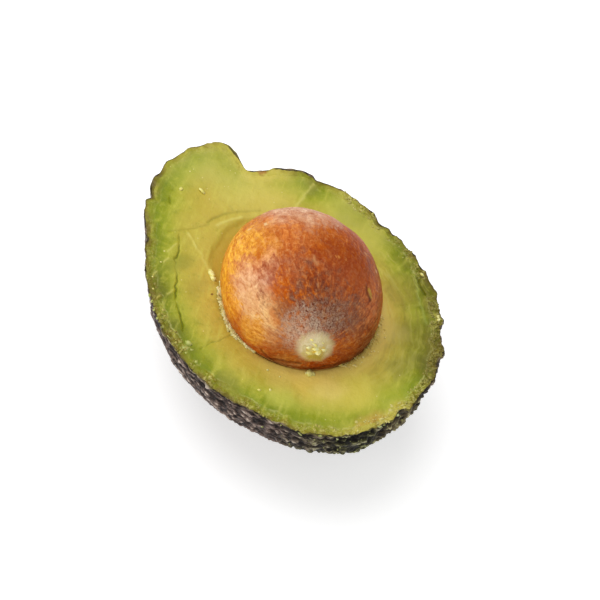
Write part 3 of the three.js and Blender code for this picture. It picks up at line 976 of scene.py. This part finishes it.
# Parts of the seam that crumbs lie along: turns from +X in degrees, and how loosely they lie there.
LEFT_SEAM = [(42, 0.15), (50, 0.4), (62, 0.35), (74, 0.8), (82, 1.1), (92, 0.7), (98, 1.0), (108, 0.3)]
RIGHT_SEAM = [(172, 0.5), (186, 0.9), (200, 1.0), (215, 0.8), (232, 0.4)]
SEAM_STEPS = 28
SEAM_OUTSET = 0.25 * MM


def crumb_finish(name, pale, deep):
    finish = Finish(name, Specular_IOR_Level=0.2, Roughness=0.3, **MOIST)
    body = finish.coats(
        paint(*deep),
        (finish.fade(finish.noise(1.2), 0.38, 0.62), pale),
        (finish.attribute("bright") * 0.8, (224, 212, 130)),
        (finish.attribute("dark") * 0.75, (112, 100, 44)),
    )
    finish.wire(Base_Color=body, Normal=finish.bump(finish.noise(0.25, detail=2), 0.06))
    return finish.material


def set_lumps(growth, points, size):
    """Puts an uneven lump of the given width at each point, and ends the tree."""
    sockets = {
        "Points": points,
        "Instance": growth.node("GeometryNodeMeshIcoSphere", {"Radius": 0.5, "Subdivisions": 1}),
        "Rotation": growth.random_vector((-0.5, -0.5, 0.0), (0.5, 0.5, 6.28)),
        "Scale": growth.vector("SCALE", growth.random_vector((0.7, 0.6, 0.3), (1.7, 1.1, 0.6)), size),
    }
    lumps = growth.node("GeometryNodeInstanceOnPoints", sockets)
    solid = growth.node("GeometryNodeRealizeInstances", {"Geometry": lumps})
    dent = growth.noise(0.4, detail=1, roughness=0.5, output="Color")
    dent = growth.vector("SUBTRACT", dent, (0.5, 0.5, 0.5))
    dent = growth.vector("SCALE", dent, growth.input("Unevenness"))
    return growth.end(growth.node("GeometryNodeSetPosition", {"Geometry": solid, "Offset": dent}))


def strewn_growth():
    """Strews lumps over faces, thickest where strewn is 1, and mostly small ones."""
    labels = ("Crumbs per Square Metre", "Least Size", "Most Size", "Sunk", "Unevenness")
    growth = Growth("strewn crumbs", *labels, Seed="Int")
    density = growth.attribute("strewn") * growth.input("Crumbs per Square Metre")
    sockets = {"Mesh": growth.input("Geometry"), "Density": density, "Seed": growth.input("Seed")}
    points = growth.node("GeometryNodeDistributePointsOnFaces", sockets)
    size = growth.random_size(2.5)
    sunk = growth.vector("SCALE", (0.0, 0.0, -1.0), size * growth.input("Sunk"))
    points = growth.node("GeometryNodeSetPosition", {"Geometry": points, "Offset": sunk})
    return set_lumps(growth, points, size)


def threaded_growth():
    """Sets lumps along a path, a little off it."""
    labels = ("Spacing", "Least Size", "Most Size", "Unevenness")
    growth = Growth("threaded crumbs", *labels, Spread="Vector", Seed="Int")
    path = growth.node("GeometryNodeMeshToCurve", {"Mesh": growth.input("Geometry")})
    sockets = {"Curve": path, "Length": growth.input("Spacing")}
    beads = growth.node("GeometryNodeResampleCurve", sockets, mode="LENGTH")
    clumps = growth.fade(growth.noise(3.5, detail=2, roughness=0.5), 0.38, 0.62)
    loose = growth.attribute("loose")
    off = growth.random_vector((-1.0, -1.0, -1.0), (1.0, 1.0, 1.0))
    off = growth.vector("MULTIPLY", off, growth.input("Spread"))
    off = growth.vector("SCALE", off, loose * (0.5 + 1.2 * clumps))
    beads = growth.node("GeometryNodeSetPosition", {"Geometry": beads, "Offset": off})
    return set_lumps(growth, beads, growth.random_size(3.0) * (0.6 + 0.5 * loose))


def placed_growth():
    """Sets a lump at each point, as wide as its size says."""
    growth = Growth("placed lumps", "Unevenness", Seed="Int")
    return set_lumps(growth, growth.input("Geometry"), growth.attribute("size"))


def make_rim_crumbs(face, values, finish):
    """Crumbs of pulp that the knife left on the rim."""
    rim = fruit_points(SPOKE_TURNS, RIM_DIP, 0.2 * MM)
    rim[..., 2] = CUT_HEIGHT
    band = np.concatenate([rim, face[:RIM_BAND_ROWS]])
    kept = {}
    for key in ("strewn", "bright", "dark"):
        kept[key] = np.concatenate([values[key][:1], values[key][:RIM_BAND_ROWS]]).ravel()
    quads = ring_quads(np.arange(len(band) * SPOKES).reshape(-1, SPOKES))
    mesh = open_mesh("rim_crumbs", band.reshape(-1, 3), faces=quads, **kept)
    sizes = {"Least_Size": LEAST_CRUMB, "Most_Size": 1.2 * MM, "Sunk": 0.1, "Unevenness": 0.4 * MM}
    sizes["Crumbs_per_Square_Metre"] = CRUMBS_PER_SQUARE_METRE
    grow(mesh, strewn_growth(), "flesh", **sizes, Seed=7, Finish=finish)


def make_seam_crumbs(name, seam, spacing, spread, most, finish):
    """A pale film of crumbs along part of the seam where the flesh meets the seed."""
    seam_turns, seam_loose = np.array(seam).T
    turns = np.linspace(seam_turns[0], seam_turns[-1], SEAM_STEPS)
    path = seed_points(directions(np.radians(turns), SEAM_RISE + 0.02), SEAM_OUTSET)
    path[:, 2] = np.maximum(path[:, 2], CUT_HEIGHT)
    edges = [(k, k + 1) for k in range(len(path) - 1)]
    mesh = open_mesh(name, path, edges, loose=np.interp(turns, seam_turns, seam_loose))
    sizes = {"Spacing": spacing, "Least_Size": LEAST_CRUMB, "Most_Size": most, "Unevenness": 0.3 * MM}
    sizes["Spread"] = Vector((spread, spread, 0.25 * MM))
    grow(mesh, threaded_growth(), "flesh", **sizes, Seed=3, Finish=finish)


def make_placed_lumps(name, slot, points, widths, unevenness, finish):
    mesh = open_mesh(name, points, size=np.array(widths) * MM)
    grow(mesh, placed_growth(), slot, Unevenness=unevenness, Seed=5, Finish=finish)


def on_cut(lumps, rise):
    """The places of lumps on the cut face, raised by so many of their widths, and the widths."""
    x, y, widths = np.array(lumps).T
    return np.stack([x * MM, y * MM, CUT_HEIGHT + rise * widths * MM], -1), widths


def make_crumbs(face, values):
    make_rim_crumbs(face, values, crumb_finish("pulp crumbs", (200, 194, 104), (160, 152, 62)))
    film = crumb_finish("seed film", (244, 232, 168), (216, 200, 118))
    make_seam_crumbs("seam_crumbs", LEFT_SEAM, 0.018 * MM, 0.6 * MM, 1.2 * MM, film)
    grains = crumb_finish("seam grains", (255, 240, 160), (232, 208, 112))
    make_seam_crumbs("seam_grains", RIGHT_SEAM, 0.045 * MM, 1.7 * MM, 0.9 * MM, grains)
    pale = crumb_finish("pale pulp lumps", (252, 246, 166), (236, 226, 122))
    places, widths = on_cut(PALE_LUMPS, 0.15)
    make_placed_lumps("pale_lumps", "flesh", places, 1.3 * widths, 0.15 * MM, pale)
    turns, drops, widths = np.array(EDGE_LUMPS).T
    down = np.arcsin(((MIDDLE_ABOVE_CUT + drops * MM) / HALF_DEPTH) ** (1 / FULLNESS))
    edge = crumb_finish("edge crumbs", (214, 220, 160), (150, 158, 80))
    make_placed_lumps("edge_lumps", "flesh", fruit_points(np.radians(turns), down), widths, 0.15 * MM, edge)
    green = crumb_finish("rim lumps", (196, 200, 118), (150, 162, 62))
    make_placed_lumps("rim_lumps", "flesh", *on_cut(RIM_LUMPS, -0.2), 0.6 * MM, green)
    places = [on_seed(turn, rise) for turn, rise, _ in SCAR_LUMPS]
    widths = [width for *_, width in SCAR_LUMPS]
    core = crumb_finish("scar crumbs", (255, 250, 190), (250, 230, 124))
    make_placed_lumps("scar_lumps", "seed", places, widths, 0.2 * MM, core)


# ---- The seed ----

BROWN = (216, 168, 130)
LIGHT = (255, 214, 150)
# Places of the coat, and how far they are full and reach in millimetres.
CALM_BACK = (-128, 48, 5, 22)
CALM_LEFT = (93, 28, 3, 10)
DUST = (156, 34, 2, 12.5)
HAZE = (140, 26, 1, 8)
DARK_FOOT = (168, -12, 12, 20)
SEED_HUMPS = 0.2 * MM
SEED_GRAIN = 0.06 * MM
SEED_LINE_HALF_WIDTH = 0.38 * MM


def on_seed(turn, rise):
    """A point of the seed's surface, from angles in degrees."""
    return tuple(seed_points(towards(turn, rise), 0.0))


def seed_finish():
    """An orange-brown seed coat with swirling fibres, a dusty bloom, a pale round scar and painted
    highlights.
    """
    finish = Finish("seed", Specular_IOR_Level=0.05, Subsurface_Weight=0.05, Subsurface_Scale=0.6 * MM)
    fade, noise, coats = finish.fade, finish.noise, finish.coats

    def spot(turn, rise, inner, outer, warp=None):
        return finish.spot(on_seed(turn, rise), inner, outer, warp)

    flow = finish.attribute("flow", "Vector")
    wide = noise(6, detail=4, roughness=0.6)
    mottle = noise(2.6, detail=5, roughness=0.62, twist=1.5)
    veins = noise(2.6, detail=5, roughness=0.6, twist=1.2, place=flow)
    fine = noise(1.0, roughness=0.6, twist=1.0)
    fibres = noise(1.1, detail=4, roughness=0.6, twist=1.0, place=flow)
    warp = stray(wide, 14) + stray(mottle, 13) + stray(fibres, 9)
    body = coats(paint(186, 86, 8), (fade(wide, 0.4, 0.6), (210, 112, 20)))
    for *where, strength, colour in SEED_PATCHES:
        body = coats(body, (spot(*where, warp) * strength, colour))
    busy = 1 - 0.6 * spot(*CALM_BACK, stray(wide, 10)) - 0.4 * spot(*CALM_LEFT)
    body = coats(
        body,
        (fade(mottle, 0.6, 0.36) * busy * 0.7, BROWN, "MULTIPLY"),
        (fade(veins, 0.58, 0.36) * busy * 0.6, BROWN, "MULTIPLY"),
        (fade(abs(veins - 0.5), 0.03, 0.0) * busy * 0.35, BROWN, "MULTIPLY"),
        (fade(fine, 0.56, 0.38) * 0.4, BROWN, "MULTIPLY"),
        (fade(fine, 0.5, 0.68) * busy * 0.15, LIGHT),
        (fade(fibres, 0.56, 0.36) * busy * 0.5, BROWN, "MULTIPLY"),
        (fade(fibres, 0.52, 0.7) * busy * 0.12, LIGHT),
    )
    dusty, haze = spot(*DUST, warp), spot(*HAZE, warp)
    streaky = noise(0.7, roughness=0.7, twist=1.0, place=flow)
    dust = 0.8 * noise(0.45, roughness=0.8, twist=1.0) + 0.2 * streaky
    body = coats(
        body,
        (fade(dust, 0.4, 0.64) * dusty * 0.5, (216, 186, 158)),
        (fade(dust, 0.49, 0.35) * dusty * 0.35, (70, 38, 28)),
        (haze * fade(dust, 0.36, 0.6) * 0.5, (236, 208, 178)),
    )
    for turn, rise, size, colour in SEED_FLECKS:
        body = coats(body, (spot(turn, rise, 0.4 * size, 1.3 * size, stray(fine, 3)) * 0.7, colour))
    base = finish.height() + stray(mottle, 2)
    # Darker brown low on the seed's foot, on its lower side.
    dark_foot = fade(base, CUT_HEIGHT + 2.6 * MM, CUT_HEIGHT + 0.9 * MM) * spot(*DARK_FOOT)
    body = coats(
        body,
        # fold: dark lines of the coat; along the foot they are partly painted shade where the seed meets
        # the flesh.
        (finish.attribute("fold") * 0.8, (84, 34, 10)),
        (finish.attribute("pale_line") * 0.5, (226, 166, 108)),
        (dark_foot * 0.6, (104, 52, 14)),
        (fade(base, CUT_HEIGHT + 0.5 * MM, CUT_HEIGHT + 0.2 * MM) * 0.7, (206, 160, 88)),
    )
    spread = noise(0.9, roughness=0.6, place=finish.vector("MULTIPLY", flow, (1.0, 1.0, 0.3)))
    rays = stray(spread, 1) + stray(mottle, 2.5)
    turn, rise = SEED_SCAR
    scar = spot(turn, rise, 2.8, 5.7, rays)
    pale = coats(paint(228, 206, 144), (fade(mottle, 0.36, 0.6), (248, 234, 186)))
    body = finish.blend(scar * 0.94, body, pale)
    body = coats(body, (spot(turn, rise - 7, 1.0, 3.4, rays * 1.5) * 0.9, (196, 164, 40)))
    core = coats(paint(246, 208, 84), (fade(mottle, 0.44, 0.58), (255, 244, 166)))
    body = finish.blend(spot(turn, rise - 2, 0.4, 2.4, rays * 2.0), body, core)
    finish.wire(
        Base_Color=body,
        Roughness=0.36 + 0.3 * (mottle - 0.5) + 0.2 * scar,
        Normal=finish.bump(0.5 * fine + 0.8 * fibres + 0.8 * mottle, 0.2),
    )
    return finish.material


def seed_flow(direction):
    """Coordinates that change fast across the seed's fibres and slowly along them, out from its scar."""
    pole = towards(*SEED_SCAR)
    across = np.cross(pole, (0, 0, 1))
    across /= np.linalg.norm(across)
    around = np.arctan2(direction @ np.cross(pole, across), direction @ across)
    from_scar = np.arccos(np.clip(direction @ pole, -1, 1))
    return SEED_RADIUS * np.stack([np.cos(around), np.sin(around), 0.4 * from_scar], -1)


def seed_line(points, line):
    """1 on a line along the seed, given by turns and rises, with patchy strength."""
    places = np.array([on_seed(turn, rise) for turn, rise in line])
    return ridge(points, places, SEED_LINE_HALF_WIDTH) * smooth(soft_noise(points, 2.5, 48), -1.2, 0.0)


def make_seed():
    form = bmesh.new()
    bmesh.ops.create_icosphere(form, subdivisions=7, radius=1.0)
    direction = np.array([vertex.co for vertex in form.verts])
    direction /= np.linalg.norm(direction, axis=1)[:, None]
    relief = SEED_HUMPS * rough_noise(direction * SEED_RADIUS, 9, 41)
    relief += SEED_GRAIN * rough_noise(direction * SEED_RADIUS, 1.6, 44)
    for vertex, point in zip(form.verts, seed_points(direction, relief)):
        vertex.co = point
    mesh = bpy.data.meshes.new("seed_whole")
    form.to_mesh(mesh)
    form.free()
    bent = seed_points(direction, np.zeros(len(direction)))
    bent = bent + (WANDER * soft_noise(bent, 1.5, 46))[:, None]
    folds_and_shade, lines = (sum(seed_line(bent, line) for line in group) for group in (SEED_FOLDS_AND_SHADE, SEED_LINES))
    name_values(mesh, {"flow": seed_flow(direction), "fold": folds_and_shade, "pale_line": lines})
    mesh.shade_smooth()
    mesh.materials.append(seed_finish())
    set_piece(new_object(mesh), "seed", "seed")


# ---- The floor, the lights and the camera ----

FLOOR_WIDTH = 6
FLOOR_DROP = 0.05 * MM
FLOOR_WHITE = (0.8, 0.8, 0.8, 1.0)
FLOOR_GLOW = 0.66
SKY_STRENGTH = 0.45
CAMERA_TURN = 134
CAMERA_RISE = 54
CAMERA_ROLL = 12
CAMERA_DISTANCE = 0.6
CAMERA_CLIP = (0.01, 20)
CAMERA_AIM = Vector((-3.35 * MM, -0.71 * MM, CUT_HEIGHT + 0.5 * MM))
VIEW_WIDTH = 0.1481  # across the view at the aim
SOFTBOX_DISTANCE = 0.5
# Softboxes: turn and rise in degrees, width in metres and power in watts.
SOFTBOXES = {"back softbox": (-4, 67, 0.55, 1.7), "left softbox": (80, 15, 0.3, 0.7)}


def make_floor():
    """A white sweep, lit a little from inside so that shadows on it stay pale."""
    bpy.ops.mesh.primitive_plane_add(size=FLOOR_WIDTH)
    floor = bpy.context.object
    floor.name = "floor"
    floor.data.transform(Matrix.Translation((0, 0, -FLOOR_DROP)))
    finish = Finish("floor", Base_Color=FLOOR_WHITE, Roughness=0.7)
    finish.set_constants(Emission_Color=FLOOR_WHITE, Emission_Strength=FLOOR_GLOW)
    floor.data.materials.append(finish.material)


def make_camera():
    back = Vector(towards(CAMERA_TURN, CAMERA_RISE))
    level = Vector(towards(CAMERA_TURN + 90, 0))
    upright = back.cross(level)
    roll = math.radians(CAMERA_ROLL)
    right = math.cos(roll) * level + math.sin(roll) * upright
    up = math.cos(roll) * upright - math.sin(roll) * level
    lens = bpy.data.cameras.new("camera")
    lens.lens = lens.sensor_width * CAMERA_DISTANCE / VIEW_WIDTH
    lens.clip_start, lens.clip_end = CAMERA_CLIP
    camera = new_object(lens)
    turned = Matrix((right, up, back)).transposed().to_4x4()
    camera.matrix_world = Matrix.Translation(CAMERA_AIM + CAMERA_DISTANCE * back) @ turned
    bpy.context.scene.camera = camera


def make_softbox(name, turn, rise, size, power):
    light = bpy.data.lights.new(name, "AREA")
    light.shape = "DISK"
    light.size = size
    light.energy = power
    lamp = new_object(light)
    away = Vector(towards(turn, rise))
    lamp.location = Vector((0, 0, CUT_HEIGHT)) + SOFTBOX_DISTANCE * away
    lamp.rotation_euler = away.to_track_quat("Z", "Y").to_euler()


def light_studio():
    world = bpy.data.worlds.new("studio")
    bpy.context.scene.world = world
    world.use_nodes = True
    sky = world.node_tree.nodes["Background"]
    sky.inputs["Color"].default_value = (1.0, 1.0, 1.0, 1.0)
    sky.inputs["Strength"].default_value = SKY_STRENGTH
    for name, numbers in SOFTBOXES.items():
        make_softbox(name, *numbers)
    bpy.context.scene.view_settings.view_transform = "Standard"


make_peel()
face, values = flesh_rows()
make_flesh(face, values)
make_crumbs(face, values)
make_seed()
make_floor()
light_studio()
make_camera()
